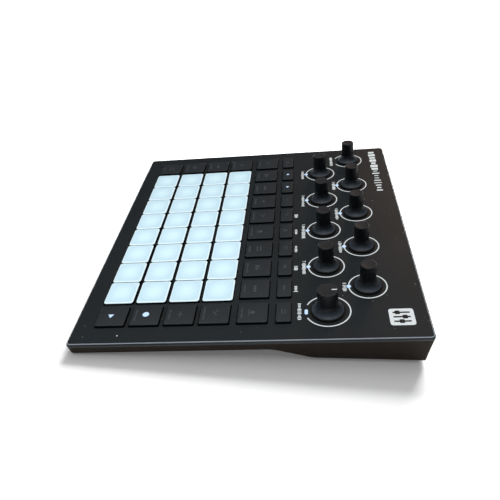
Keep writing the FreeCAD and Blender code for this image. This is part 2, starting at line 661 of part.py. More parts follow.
faults = [item.Name for item in doc.Objects if {"Invalid", "Error"} & set(item.State)]
faults += [piece.Label for piece in nodes if piece.Shape.isNull() or not piece.Shape.isValid()]
if faults:
    raise RuntimeError("failed objects: " + ", ".join(faults))
os.makedirs("parts", exist_ok=True)
for piece in nodes:
    piece.Shape.exportStep("parts/%s.step" % piece.Label)
print("wrote", len(nodes), "nodes")
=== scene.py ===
import json
import math
import random
import bmesh
import bpy
from mathutils import Matrix, Vector

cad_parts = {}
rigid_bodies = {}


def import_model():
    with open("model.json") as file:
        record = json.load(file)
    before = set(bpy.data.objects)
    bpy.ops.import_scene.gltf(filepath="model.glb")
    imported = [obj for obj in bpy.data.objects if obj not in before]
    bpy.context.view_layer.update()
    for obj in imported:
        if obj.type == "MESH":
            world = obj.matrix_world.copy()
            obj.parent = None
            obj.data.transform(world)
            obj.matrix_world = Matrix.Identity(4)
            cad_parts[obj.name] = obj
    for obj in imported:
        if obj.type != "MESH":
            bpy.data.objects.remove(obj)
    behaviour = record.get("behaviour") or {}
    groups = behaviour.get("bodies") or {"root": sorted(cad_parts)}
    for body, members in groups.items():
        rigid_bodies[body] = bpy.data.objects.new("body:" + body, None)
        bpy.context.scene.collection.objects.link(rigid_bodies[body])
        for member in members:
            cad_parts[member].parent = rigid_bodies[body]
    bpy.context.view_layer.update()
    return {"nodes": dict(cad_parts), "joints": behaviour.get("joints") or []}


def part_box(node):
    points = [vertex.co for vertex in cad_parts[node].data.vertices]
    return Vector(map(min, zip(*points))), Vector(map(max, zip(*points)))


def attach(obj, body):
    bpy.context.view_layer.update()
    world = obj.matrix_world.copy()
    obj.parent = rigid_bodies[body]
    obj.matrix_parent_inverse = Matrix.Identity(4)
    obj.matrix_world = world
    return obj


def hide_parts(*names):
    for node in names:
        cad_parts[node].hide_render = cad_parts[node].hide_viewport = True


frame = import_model()
nodes = frame["nodes"]
joints = {joint["name"]: joint for joint in frame["joints"]}
mm = 0.001

# The panel's own frame, from the volume knob's axis: across to the right, up the slope, and out of the panel.
panelNormal = Vector(joints["volume_knob_turn"]["axis"]).normalized()
across = Vector((1, 0, 0))
upslope = panelNormal.cross(across).normalized()
knobSeat = Vector(joints["volume_knob_turn"]["pos_m"])
panelOrigin = Vector((0, 0, knobSeat.dot(panelNormal) / panelNormal.z))
panelMatrix = Matrix((
    (across.x, upslope.x, panelNormal.x, panelOrigin.x),
    (across.y, upslope.y, panelNormal.y, panelOrigin.y),
    (across.z, upslope.z, panelNormal.z, panelOrigin.z),
    (0, 0, 0, 1),
))
toPanel = panelMatrix.inverted()


def nodeCentre(name):  # where a CAD node stands on the panel, in panel coordinates
    low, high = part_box(name)
    return toPanel @ ((low + high) / 2)


padRows, padColumns = 4, 8
columnsX = [nodeCentre("pad_row1_col%d" % (column + 1)).x for column in range(padColumns)]
rowsY = [nodeCentre("pad_row%d_col1" % (row + 1)).y for row in range(padRows)]
sideX = nodeCentre("right_buttons").x
trackY = nodeCentre("track_buttons").y
smallY = nodeCentre("small_buttons").y
knobNames = ["volume_knob"] + ["macro_knob_%d" % (index + 1) for index in range(8)] + ["filter_knob"]
knobPlace = {name: toPanel @ Vector(joints[name + "_turn"]["pos_m"]) for name in knobNames}
print("frame read:", len(nodes), "nodes")


# Mesh helpers.

def link(mesh, name):
    item = bpy.data.objects.new(name, mesh)
    bpy.context.scene.collection.objects.link(item)
    return item


def smoothByAngle(mesh, degrees=32):
    mesh.polygons.foreach_set("use_smooth", [True] * len(mesh.polygons))
    edit = bmesh.new()
    edit.from_mesh(mesh)
    limit = math.radians(degrees)
    for edge in edit.edges:
        if len(edge.link_faces) == 2 and edge.calc_face_angle(0) > limit:
            edge.smooth = False
    edit.to_mesh(mesh)
    edit.free()


def roundedOutline(width, depth, corner, steps):
    points = []
    for quarter, (signX, signY) in enumerate(((1, 1), (-1, 1), (-1, -1), (1, -1))):
        middle = Vector((signX * (width / 2 - corner), signY * (depth / 2 - corner)))
        for step in range(steps + 1):
            angle = math.pi / 2 * (quarter + step / steps)
            points.append(middle + corner * Vector((math.cos(angle), math.sin(angle))))
    return points


def stackRings(edit, rings, matrix):  # skins closed rings of points, then closes both ends
    made = [[edit.verts.new(matrix @ Vector(point)) for point in ring] for ring in rings]
    for lower, upper in zip(made, made[1:]):
        for index in range(len(lower)):
            following = (index + 1) % len(lower)
            edit.faces.new((lower[index], lower[following], upper[following], upper[index]))
    edit.faces.new(list(reversed(made[0])))
    edit.faces.new(made[-1])


# How far in from a block's edge each ring of its dished top lies, in mm, and its share of the dish's depth.
dishRings = ((0.9, 0.25), (2.6, 0.8), (5, 1))
smallestCorner = 0.12 * mm


def roundedBlock(edit, width, depth, bottom, top, corner, edge, matrix, steps=4, dish=0.0, foot=0.0):
    rings = []
    if foot:
        rings.append((foot, bottom))
    rings.append((0, bottom + foot))
    for step in range(steps + 1):
        angle = math.pi / 2 * step / steps
        rings.append((edge * (1 - math.cos(angle)), top - edge * (1 - math.sin(angle))))
    if dish:
        rings += [(edge + inward * mm, top - share * dish) for inward, share in dishRings]
    points = []
    for inset, height in rings:
        rounding = max(corner - inset, smallestCorner)
        ring = roundedOutline(width - 2 * inset, depth - 2 * inset, rounding, steps)
        points.append([(p.x, p.y, height) for p in ring])
    stackRings(edit, points, matrix)


def lathe(edit, profile, matrix, segments=72):
    turns = [2 * math.pi * index / segments for index in range(segments)]
    rings = [[(radius * math.cos(turn), radius * math.sin(turn), height) for turn in turns]
             for radius, height in profile]
    stackRings(edit, rings, matrix)


def finishMesh(edit, name, material, degrees=32):
    mesh = bpy.data.meshes.new(name)
    bmesh.ops.recalc_face_normals(edit, faces=edit.faces)
    edit.to_mesh(mesh)
    edit.free()
    smoothByAngle(mesh, degrees)
    mesh.materials.append(material)
    return link(mesh, name)


def at(x, y, height=0.0):  # a place on the panel
    return panelMatrix @ Matrix.Translation((x, y, height))


# Materials.

def newMaterial(name, roughness, metallic=0.0, specular=0.5):
    material = bpy.data.materials.new(name)
    material.use_nodes = True
    shader = material.node_tree.nodes["Principled BSDF"]
    shader.inputs["Roughness"].default_value = roughness
    shader.inputs["Metallic"].default_value = metallic
    shader.inputs["Specular IOR Level"].default_value = specular
    return material, material.node_tree, shader


def addNode(tree, kind, **inputs):
    made = tree.nodes.new(kind)
    for name, setting in inputs.items():
        made.inputs[name].default_value = setting
    return made


def noise(tree, scale, detail=4.0, roughness=0.55, source="Object"):
    place = tree.nodes.new("ShaderNodeTexCoord")
    made = addNode(tree, "ShaderNodeTexNoise", Scale=scale, Detail=detail, Roughness=roughness)
    tree.links.new(place.outputs[source], made.inputs["Vector"])
    return made.outputs["Fac"]


def ramp(tree, source, stops):
    made = tree.nodes.new("ShaderNodeValToRGB")
    while len(made.color_ramp.elements) < len(stops):
        made.color_ramp.elements.new(0.5)
    for element, (position, colour) in zip(made.color_ramp.elements, stops):
        element.position = position
        element.color = (*colour, 1)
    tree.links.new(source, made.inputs["Fac"])
    return made.outputs["Color"]


def spread(tree, source, low, high):
    made = addNode(tree, "ShaderNodeMapRange", **{"To Min": low, "To Max": high})
    tree.links.new(source, made.inputs["Value"])
    return made.outputs["Result"]


def bump(tree, shader, source, strength, distance):
    made = addNode(tree, "ShaderNodeBump", Strength=strength, Distance=distance)
    tree.links.new(source, made.inputs["Height"])
    tree.links.new(made.outputs["Normal"], shader.inputs["Normal"])


# Moulded plastic with a fine spark-eroded grain, slow tone drift and a few dust specks.
def mouldedPlastic(name, dark, light, roughness, grain=2600, depth=0.00004, specular=0.5, specks=0.0):
    material, tree, shader = newMaterial(name, roughness, specular=specular)
    tone = ramp(tree, noise(tree, 22, 3), [(0.3, dark), (0.7, light)])
    if specks:
        dust = ramp(tree, noise(tree, 640, 0), [(specks, (0, 0, 0)), (specks + 0.02, (0.3, 0.3, 0.3))])
        mix = tree.nodes.new("ShaderNodeMix")
        mix.data_type = "RGBA"
        mix.blend_type = "ADD"
        mix.inputs["Factor"].default_value = 1
        tree.links.new(tone, mix.inputs["A"])
        tree.links.new(dust, mix.inputs["B"])
        tone = mix.outputs["Result"]
    tree.links.new(tone, shader.inputs["Base Color"])
    grainNoise = noise(tree, grain, 2)
    rough = spread(tree, noise(tree, 160, 5), roughness - 0.07, roughness + 0.07)
    tree.links.new(rough, shader.inputs["Roughness"])
    bump(tree, shader, grainNoise, 0.5, depth)
    return material


def mathNode(tree, operation, first, second=None):
    made = tree.nodes.new("ShaderNodeMath")
    made.operation = operation
    for socket, source in zip(made.inputs, (first, second)):
        if isinstance(source, (int, float)):
            socket.default_value = source
        elif source is not None:
            tree.links.new(source, socket)
    return made.outputs[0]


# Silicone lit from below: a cool glow in the middle, and a painted highlight brightening the rim.
padGlow = [(0.0, (0.66, 0.93, 1.0)), (0.3, (0.58, 0.83, 0.95)),
           (0.8, (0.50, 0.74, 0.87)), (1.0, (0.54, 0.76, 0.87))]
padRimHighlight = [(0.0, (1, 1, 1)), (0.91, (1, 1, 1)), (0.945, (1.5, 1.3, 1.2)), (1.0, (1.4, 1.25, 1.2))]
padPower = {"From Min": -0.09, "From Max": 0.02, "To Min": 0.73, "To Max": 0.82}  # weaker to the left


def litSilicone():
    material, tree, shader = newMaterial("lit_silicone", 0.45, specular=0.35)
    place = tree.nodes.new("ShaderNodeUVMap")
    place.uv_map = "pad"
    split = tree.nodes.new("ShaderNodeSeparateXYZ")
    tree.links.new(place.outputs["UV"], split.inputs["Vector"])
    sides = [mathNode(tree, "ABSOLUTE", split.outputs[axis]) for axis in ("X", "Y")]
    rim = mathNode(tree, "MAXIMUM", sides[0], sides[1])
    spot = mathNode(tree, "ADD", *[mathNode(tree, "POWER", side, 2.2) for side in sides])
    mottle = spread(tree, noise(tree, 260, 3), -0.05, 0.05)
    glow = ramp(tree, mathNode(tree, "ADD", spot, mottle), padGlow)
    # painted highlight: the glow is multiplied up along the rim of each pad
    fade = ramp(tree, rim, padRimHighlight)
    lit = tree.nodes.new("ShaderNodeMix")
    lit.data_type = "RGBA"
    lit.blend_type = "MULTIPLY"
    lit.clamp_result = False
    lit.inputs["Factor"].default_value = 1
    tree.links.new(glow, lit.inputs["A"])
    tree.links.new(fade, lit.inputs["B"])
    skin = ramp(tree, noise(tree, 340, 3), [(0.3, (0.40, 0.45, 0.48)), (0.7, (0.44, 0.49, 0.52))])
    tree.links.new(skin, shader.inputs["Base Color"])
    tree.links.new(lit.outputs["Result"], shader.inputs["Emission Color"])
    where = tree.nodes.new("ShaderNodeSeparateXYZ")
    tree.links.new(tree.nodes.new("ShaderNodeTexCoord").outputs["Object"], where.inputs["Vector"])
    power = addNode(tree, "ShaderNodeMapRange", **padPower)
    tree.links.new(where.outputs["X"], power.inputs["Value"])
    tree.links.new(power.outputs["Result"], shader.inputs["Emission Strength"])
    rough = spread(tree, noise(tree, 300, 4), 0.38, 0.52)
    tree.links.new(rough, shader.inputs["Roughness"])
    bump(tree, shader, noise(tree, 1800, 2), 0.25, 0.00003)
    return material


def softRubber(name, dark, light, roughness, sheen=0.3):
    material, tree, shader = newMaterial(name, roughness, specular=0.45)
    tree.links.new(ramp(tree, noise(tree, 60, 4), [(0.3, dark), (0.7, light)]), shader.inputs["Base Color"])
    shader.inputs["Sheen Weight"].default_value = sheen
    shader.inputs["Sheen Roughness"].default_value = 0.4
    shader.inputs["Sheen Tint"].default_value = (0.55, 0.65, 0.85, 1)
    rough = spread(tree, noise(tree, 240, 4), roughness - 0.06, roughness + 0.08)
    tree.links.new(rough, shader.inputs["Roughness"])
    bump(tree, shader, noise(tree, 3200, 2), 0.3, 0.00003)
    return material


# Tone and gloss by the zone of a knob: 0 on top, 0.5 on the barrel, 1 at the foot of the skirt. The tone is
# painted light: a lighter top, painted shade on the barrel and a painted bluish highlight at the foot of the
# skirt.
knobShadeAndHighlight = [(0.0, (0.034, 0.036, 0.040)), (0.5, (0.0055, 0.0070, 0.0090)),
            (0.68, (0.017, 0.022, 0.028)), (1.0, (0.078, 0.100, 0.128))]
knobGloss = [(0.0, (0.4, 0.4, 0.4)), (0.5, (0.16, 0.16, 0.16)), (1.0, (0.5, 0.5, 0.5))]


def knobRubber():
    material, tree, shader = newMaterial("knob_rubber", 0.4, specular=0.4)
    zone = tree.nodes.new("ShaderNodeAttribute")
    zone.attribute_name = "zone"
    tone = ramp(tree, zone.outputs["Fac"], knobShadeAndHighlight)
    tree.links.new(tone, shader.inputs["Base Color"])
    gloss = ramp(tree, zone.outputs["Fac"], knobGloss)
    tree.links.new(gloss, shader.inputs["Specular IOR Level"])
    grain = noise(tree, 1400, 4)
    tree.links.new(spread(tree, grain, 0.34, 0.46), shader.inputs["Roughness"])
    bump(tree, shader, grain, 0.25, 0.00003)
    return material


# The sloping band round the panel, from its foot to the panel: dark, then a painted highlight line at the
# top.
edgeHighlightTone = [(0.0, (0.013, 0.0115, 0.010)), (0.5, (0.017, 0.017, 0.018)), (0.7, (0.03, 0.034, 0.038)),
            (0.8, (0.42, 0.47, 0.52)), (1.0, (0.58, 0.66, 0.76))]
edgeDrop = 1.6 * mm


def wornEdge():
    material, tree, shader = newMaterial("panel_edge_painted_highlight", 0.36, specular=0.45)
    coordinates = tree.nodes.new("ShaderNodeTexCoord")
    along = tree.nodes.new("ShaderNodeVectorMath")
    along.operation = "DOT_PRODUCT"
    along.inputs[1].default_value = panelNormal
    tree.links.new(coordinates.outputs["Object"], along.inputs[0])
    level = panelMatrix.translation.dot(panelNormal)
    depth = tree.nodes.new("ShaderNodeMapRange")
    depth.inputs["From Min"].default_value = level - edgeDrop
    depth.inputs["From Max"].default_value = level
    tree.links.new(along.outputs["Value"], depth.inputs["Value"])
    tone = ramp(tree, depth.outputs["Result"], edgeHighlightTone)
    tree.links.new(tone, shader.inputs["Base Color"])
    grain = noise(tree, 700, 4)
    tree.links.new(spread(tree, grain, 0.3, 0.42), shader.inputs["Roughness"])
    bump(tree, shader, grain, 0.2, 0.00004)
    return material


def printedInk(name, colour, glow=0.0):
    material, tree, shader = newMaterial(name, 0.55)
    worn = tuple(part * 0.86 for part in colour)
    shade = ramp(tree, noise(tree, 900, 4), [(0.3, worn), (0.6, colour)])
    tree.links.new(shade, shader.inputs["Base Color"])
    if glow:
        tree.links.new(shade, shader.inputs["Emission Color"])
        shader.inputs["Emission Strength"].default_value = glow
    bump(tree, shader, noise(tree, 2400, 2), 0.2, 0.00002)
    return material


def wornMetal(name, dark, light, roughness, grain=900):
    material, tree, shader = newMaterial(name, roughness, metallic=1.0)
    tree.links.new(ramp(tree, noise(tree, 180, 5), [(0.3, dark), (0.75, light)]), shader.inputs["Base Color"])
    rough = spread(tree, noise(tree, grain, 5), roughness - 0.1, roughness + 0.12)
    tree.links.new(rough, shader.inputs["Roughness"])
    bump(tree, shader, noise(tree, grain, 4), 0.2, 0.00002)
    return material


def solderMask():
    material, tree, shader = newMaterial("solder_mask", 0.35)
    place = tree.nodes.new("ShaderNodeTexCoord")
    tracks = addNode(tree, "ShaderNodeTexBrick", Scale=260.0)
    tracks.inputs["Color1"].default_value = (0.006, 0.075, 0.03, 1)
    tracks.inputs["Color2"].default_value = (0.008, 0.09, 0.036, 1)
    tracks.inputs["Mortar"].default_value = (0.015, 0.15, 0.06, 1)
    tree.links.new(place.outputs["Object"], tracks.inputs["Vector"])
    tree.links.new(tracks.outputs["Color"], shader.inputs["Base Color"])
    bump(tree, shader, tracks.outputs["Fac"], 0.3, 0.00004)
    return material


materials = {
    "panel": mouldedPlastic("panel_plastic", (0.0205, 0.027, 0.031), (0.0265, 0.034, 0.0385), 0.47,
                            specular=0.35, specks=0.86),
    "case": mouldedPlastic("case_plastic", (0.0150, 0.0108, 0.0080), (0.0215, 0.0158, 0.0118), 0.72,
                           grain=1900, specular=0.15),
    "key": mouldedPlastic("key_plastic", (0.034, 0.042, 0.048), (0.043, 0.052, 0.060), 0.42, grain=3400,
                          depth=0.00002, specular=0.45),
    # painted shade for the upright sides of the keys
    "keyShadedSide": mouldedPlastic("key_side_painted_shade", (0.003, 0.0032, 0.0038), (0.005, 0.0052, 0.006), 0.5,
                              specular=0.15),
    # painted highlight line along the top of the panel's sloping edge
    "panelEdge": wornEdge(),
    "pad": litSilicone(),
    # painted shade for the upright sides of the pads
    "padShadedSide": softRubber("pad_side_painted_shade", (0.006, 0.0075, 0.009), (0.010, 0.012, 0.014), 0.6, 0.0),
    "knob": knobRubber(),
    # painted shade for the band round the foot of the knob skirts
    "knobRimShade": softRubber("rim_painted_shade_rubber", (0.004, 0.0042, 0.0045), (0.007, 0.0072, 0.0075), 0.6, 0.0),
    "mat": softRubber("mat_rubber", (0.006, 0.006, 0.006), (0.01, 0.01, 0.01), 0.7, 0.1),
    "foot": softRubber("foot_rubber", (0.012, 0.012, 0.012), (0.022, 0.021, 0.02), 0.75, 0.2),
    # white print with a painted glow: the ink is given emission though it is no lamp
    "ink": printedInk("white_ink_painted_glow", (0.86, 0.92, 0.93), 0.42),
    "faintInk": printedInk("faint_ink", (0.13, 0.14, 0.16)),
    "glow": printedInk("lit_legend", (0.55, 0.74, 1.0), 0.75),
    # dark print for the badge sign, and painted shade for the key webs and the rings under the knobs
    "darkInkAndShade": printedInk("dark_ink_and_painted_shade", (0.012, 0.013, 0.014)),
    "socket": mouldedPlastic("socket_plastic", (0.008, 0.008, 0.009), (0.014, 0.014, 0.015), 0.4, grain=2200),
    "steel": wornMetal("plated_steel", (0.42, 0.42, 0.43), (0.62, 0.62, 0.63), 0.3),
    "screw": wornMetal("black_zinc", (0.05, 0.05, 0.055), (0.12, 0.12, 0.125), 0.42),
    "board": solderMask(),
    "wrap": mouldedPlastic("battery_wrap", (0.03, 0.07, 0.22), (0.05, 0.1, 0.3), 0.28,
                           grain=500, depth=0.00008),
}
print("materials:", len(materials))


# Pads and keys.

padShape = {
    "edge": 0.75 * mm, "corner": 1.7 * mm, "dish": 0.18 * mm, "rise": 1.6 * mm, "bottom": -2.95 * mm,
    "width": 20.6 * mm, "depth": 18.8 * mm, "foot": 0.3 * mm,
}


def addPadUv(mesh, centre, width, depth):
    layer = mesh.uv_layers.new(name="pad")
    for loop in mesh.loops:
        point = toPanel @ mesh.vertices[loop.vertex_index].co
        layer.data[loop.index].uv = ((point.x - centre.x) * 2 / width, (point.y - centre.y) * 2 / depth)


uprightLean = 0.3


def darkSides(mesh, material):  # painted shade: the upright faces of a cap, which sit in the shade of its window, get a dark material
    mesh.materials.append(material)
    for face in mesh.polygons:
        if face.normal.dot(panelNormal) < uprightLean:
            face.material_index = 1


def makePad(row, column):
    name = "pad_row%d_col%d" % (row + 1, column + 1)
    centre = Vector((columnsX[column], rowsY[row]))
    edit = bmesh.new()
    sizes = [padShape[word] for word in ("width", "depth", "bottom", "rise", "corner", "edge")]
    roundedBlock(edit, *sizes, at(centre.x, centre.y), steps=6, dish=padShape["dish"], foot=padShape["foot"])
    pad = finishMesh(edit, "lit_" + name, materials["pad"], 60)
    addPadUv(pad.data, centre, padShape["width"], padShape["depth"])
    darkSides(pad.data, materials["padShadedSide"])
    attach(pad, name)
    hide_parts(name)


for row in range(padRows):
    for column in range(padColumns):
        makePad(row, column)
print("pads:", padRows * padColumns)

keyShape = {
    "width": 17.2 * mm, "depth": 17.8 * mm, "smallDepth": 8.8 * mm, "rise": 1.55 * mm, "edge": 0.4 * mm,
    "foot": 0.2 * mm, "flange": 1.4 * mm, "flangeBottom": -2.95 * mm, "flangeTop": -2.45 * mm,
    "flangeEdge": 0.1 * mm, "stem": 2 * mm, "stemBottom": -3.6 * mm, "stemTop": -2.9 * mm,
    "corner": 0.9 * mm, "bottom": -2.4 * mm, "web": 1.0 * mm, "webRise": 0.04 * mm,
}
keyGroups = {
    "left_buttons": [(-sideX, y, keyShape["depth"]) for y in rowsY] + [
        (-sideX, trackY, keyShape["depth"]), (-sideX, smallY, keyShape["smallDepth"])],
    "right_buttons": [(sideX, y, keyShape["depth"]) for y in rowsY] + [
        (sideX, trackY, keyShape["depth"]), (sideX, smallY, keyShape["smallDepth"])],
    "track_buttons": [(x, trackY, keyShape["depth"]) for x in columnsX],
    "small_buttons": [(x, smallY, keyShape["smallDepth"]) for x in columnsX],
}


def makeKeyGroup(name, places):
    edit = bmesh.new()
    for x, y, depth in places:
        roundedBlock(edit, keyShape["width"], depth, keyShape["bottom"], keyShape["rise"], keyShape["corner"],
                     keyShape["edge"], at(x, y), steps=5, foot=keyShape["foot"])
        levels = keyShape["flangeBottom"], keyShape["flangeTop"]
        roundedBlock(edit, keyShape["width"] + keyShape["flange"], depth + keyShape["flange"], *levels,
                     keyShape["corner"], keyShape["flangeEdge"], at(x, y), steps=2)
        lathe(edit, [(keyShape["stem"], keyShape[end]) for end in ("stemBottom", "stemTop")], at(x, y), 24)
    keys = finishMesh(edit, "caps_" + name, materials["key"], 60)
    darkSides(keys.data, materials["keyShadedSide"])
    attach(keys, name)
    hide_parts(name)


for name, places in keyGroups.items():
    makeKeyGroup(name, places)
print("keys:", sum(len(places) for places in keyGroups.values()))


# Marks: flat printed shapes, and strips of painted shade, that stand a hair above their surface.

def slabFrom(edit, outline, matrix, thickness=0.05 * mm):
    stackRings(edit, [[(x, y, z) for x, y in outline] for z in (-thickness, thickness)], matrix)


def disc(radius, steps=32):
    turns = [2 * math.pi * step / steps for step in range(steps)]
    return [(radius * math.cos(turn), radius * math.sin(turn)) for turn in turns]


def bar(width, depth, x=0.0, y=0.0, corner=0.15 * mm):
    corner = min(corner, width / 2 * 0.98, depth / 2 * 0.98)
    return [(p.x + x, p.y + y) for p in roundedOutline(width, depth, corner, 3)]


def triangle(size, turn=0.0):
    points = []
    for corner in range(3):
        angle = turn + 2 * math.pi * corner / 3
        points.append((size * math.cos(angle), size * math.sin(angle)))
    return points


def turned(outline, angle):
    cosine, sine = math.cos(angle), math.sin(angle)
    return [(x * cosine - y * sine, x * sine + y * cosine) for x, y in outline]


def shifted(outline, x, y):
    return [(px + x, py + y) for px, py in outline]


# Plain picture signs for the dark keys, each a list of outlines.
signs = [
    [bar(4.2 * mm, 0.5 * mm, 0, 0.9 * mm), bar(4.2 * mm, 0.5 * mm, 0, -0.9 * mm)],
    [bar(0.6 * mm, height * mm, x * mm) for height, x in ((2.6, -1.5), (1.6, -0.5), (2.2, 0.5), (1.1, 1.5))],
    [bar(1.2 * mm, 1.2 * mm, x * mm) for x in (-1.3, 0.3, 1.9)],
    [bar(3.4 * mm, 0.45 * mm), bar(0.45 * mm, 2.6 * mm)],
    [turned(bar(3.2 * mm, 0.5 * mm), 0.7), shifted(disc(0.5 * mm, 16), -1.6 * mm, 1.0 * mm)],
    [disc(1.0 * mm, 24), bar(3.8 * mm, 0.4 * mm, 0, -1.6 * mm)],
]


def ridingMark(edit, name, material, body):
    mark = finishMesh(edit, name, materials[material], 40)
    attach(mark, body)


def grown(outline, scale):
    return [(x * scale, y * scale) for x, y in outline]


# Sizes of the marks on the keys: lit signs, plain signs on tall keys, and a row of bars like small print.
markShape = {
    "play": 2.1 * mm, "playX": -0.2 * mm, "playY": -1.1 * mm, "record": 2.0 * mm, "recordX": -0.6 * mm,
    "recordY": -0.3 * mm, "arrow": 1.5 * mm, "grown": 1.35, "tall": 10 * mm, "lineY": -6.4 * mm,
    "linePitch": 1.15 * mm, "lineHeight": 1.5 * mm, "lineFill": 0.6, "lineCorner": 0.08 * mm,
}


def legendLine(edit, matrix, count, seed):  # a row of uneven short bars
    chance = random.Random(seed)
    for index in range(count):
        x = (index - (count - 1) / 2) * markShape["linePitch"]
        width = markShape["linePitch"] * markShape["lineFill"]
        height = markShape["lineHeight"] * chance.uniform(0.5, 1)
        slabFrom(edit, bar(width, height, x, markShape["lineY"], markShape["lineCorner"]), matrix)


def markKeys():
    for group, places in keyGroups.items():
        faint, lit = bmesh.new(), bmesh.new()
        for index, (x, y, depth) in enumerate(places):
            top = at(x, y, keyShape["rise"])
            if group == "right_buttons" and index == 0:
                outline = triangle(markShape["play"])
                slabFrom(lit, shifted(outline, markShape["playX"], markShape["playY"]), top)
            elif group == "right_buttons" and index == 1:
                outline = disc(markShape["record"])
                slabFrom(lit, shifted(outline, markShape["recordX"], markShape["recordY"]), top)
            elif group == "small_buttons" and index in (0, 1):
                side = math.pi if index == 0 else 0.0
                slabFrom(lit, triangle(markShape["arrow"], side), top)
            else:
                for outline in signs[(index + len(group)) % len(signs)]:
                    growth = markShape["grown"] if depth > markShape["tall"] else 1.0
                    slabFrom(faint, grown(outline, growth), top)
            if depth > markShape["tall"] and (index > 0 or group != "right_buttons"):
                legendLine(faint, top, 6 + (index * 3) % 5, index)
        ridingMark(faint, "signs_" + group, "faintInk", group)
        if len(lit.verts):
            ridingMark(lit, "lit_signs_" + group, "glow", group)
        else:
            lit.free()


def darkStrips():  # painted shade: the narrow webs between keys of one column get a black strip
    edit = bmesh.new()
    webs = [(rowsY[i] + rowsY[i + 1]) / 2 for i in range(len(rowsY) - 1)]
    for x in (-sideX, sideX):
        for y in webs:
            slabFrom(edit, bar(keyShape["width"], keyShape["web"], x, y), at(0, 0), keyShape["webRise"])
    ridingMark(edit, "key_web_painted_shade", "darkInkAndShade", "case")


markKeys()
darkStrips()


# Knobs.

knobShape = {
    "macro": {"radius": 4.95 * mm, "skirt": 8.8 * mm, "height": 17.0 * mm},
    "filter": {"radius": 6.1 * mm, "skirt": 10.0 * mm, "height": 16.0 * mm},
    "gap": 0.5 * mm, "rimWidth": 0.75 * mm, "rim": 1.3 * mm, "flareTop": 7.5 * mm, "round": 0.7 * mm,
    "dish": 0.25 * mm, "rimBand": 0.25 * mm, "topBand": 0.35 * mm, "fade": 1.3,
}
pointerShape = {
    "width": 0.65 * mm, "length": 3.1 * mm, "out": 3.9 * mm, "sunk": 0.02 * mm, "thickness": 0.08 * mm,
}
spindleShape = {"radius": 3.0 * mm, "bottom": -7.5 * mm, "top": 2.0 * mm}


def knobProfile(size):
    radius, skirt, height = size["radius"], size["skirt"], size["height"]
    gap, rim, flareTop, rounding = (knobShape[word] for word in ("gap", "rim", "flareTop", "round"))
    profile = [(3.2 * mm, gap + 0.6 * mm), (skirt - 0.9 * mm, gap + 0.5 * mm), (skirt - 0.5 * mm, gap),
               (skirt - 0.12 * mm, gap), (skirt, gap + 0.12 * mm), (skirt, rim - 0.22 * mm)]
    profile += [(skirt - 0.06 * mm, rim - 0.08 * mm), (skirt - 0.22 * mm, rim)]
    # A quarter bend from the rim up into the barrel.
    run, climb = skirt - 0.22 * mm - radius, flareTop - rim
    bend = (run * run + climb * climb) / (2 * run)
    reach = math.asin(climb / bend)
    for step in range(1, 17):
        angle = reach * (1 - step / 16)
        profile.append((radius + bend * (1 - math.cos(angle)), flareTop - bend * math.sin(angle)))
    for step in range(7):
        angle = math.pi / 2 * step / 6
        profile.append((radius - rounding * (1 - math.cos(angle)), height - rounding * (1 - math.sin(angle))))
    inner = radius - rounding
    profile += [(inner * 0.9, height - 0.05 * mm), (inner * 0.6, height - knobShape["dish"] * 0.85),
                (inner * 0.2, height - knobShape["dish"])]
    return profile


def makeKnob(name):
    size = knobShape["filter" if name == "filter_knob" else "macro"]
    seat = at(knobPlace[name].x, knobPlace[name].y)
    edit = bmesh.new()
    lathe(edit, knobProfile(size), seat, 96)
    cap = finishMesh(edit, "cap_" + name, materials["knob"], 50)
    # painted shade: faces of the skirt's outer rim band get a near-black rubber
    cap.data.materials.append(materials["knobRimShade"])
    back = seat.inverted()
    for face in cap.data.polygons:
        centre = back @ face.center
        outside = centre.xy.length > size["skirt"] - knobShape["rimWidth"]
        if outside and centre.z < knobShape["rim"] + knobShape["rimBand"]:
            face.material_index = 1
    # the zone sets where the knob is painted lighter, painted shade or painted highlight
    zone = cap.data.attributes.new("zone", "FLOAT", "POINT")
    for vertex in cap.data.vertices:
        height = (back @ vertex.co).z
        if height > size["height"] - knobShape["topBand"]:
            zone.data[vertex.index].value = 0.0
        elif height < knobShape["flareTop"]:
            fall = (knobShape["flareTop"] - height) / (knobShape["flareTop"] - knobShape["rim"])
            zone.data[vertex.index].value = 0.5 + 0.5 * min(1.0, fall) ** knobShape["fade"]
        else:
            zone.data[vertex.index].value = 0.5
    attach(cap, name)
    shaft = bmesh.new()
    lathe(shaft, [(spindleShape["radius"], spindleShape[end]) for end in ("bottom", "top")], seat, 40)
    spindle = finishMesh(shaft, "spindle_" + name, materials["steel"], 40)
    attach(spindle, name)
    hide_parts(name)
    if name == "filter_knob":
        pointer = bmesh.new()
        tip = seat @ Matrix.Translation((0, 0, size["height"] - pointerShape["sunk"]))
        outline = bar(pointerShape["width"], pointerShape["length"], 0, pointerShape["out"])
        slabFrom(pointer, outline, tip, pointerShape["thickness"])
        ridingMark(pointer, "pointer_filter_knob", "ink", name)


for name in knobNames:
    makeKnob(name)
print("knobs:", len(knobNames))


# Geometry node trees.

def newTree(name, settings):
    tree = bpy.data.node_groups.new(name, "GeometryNodeTree")
    tree.interface.new_socket(name="Geometry", in_out="INPUT", socket_type="NodeSocketGeometry")
    for label, (kind, default) in settings.items():
        made = tree.interface.new_socket(name=label, in_out="INPUT", socket_type="NodeSocket" + kind)
        made.default_value = default
    tree.interface.new_socket(name="Geometry", in_out="OUTPUT", socket_type="NodeSocketGeometry")
    start, end = tree.nodes.new("NodeGroupInput"), tree.nodes.new("NodeGroupOutput")
    return tree, start, end


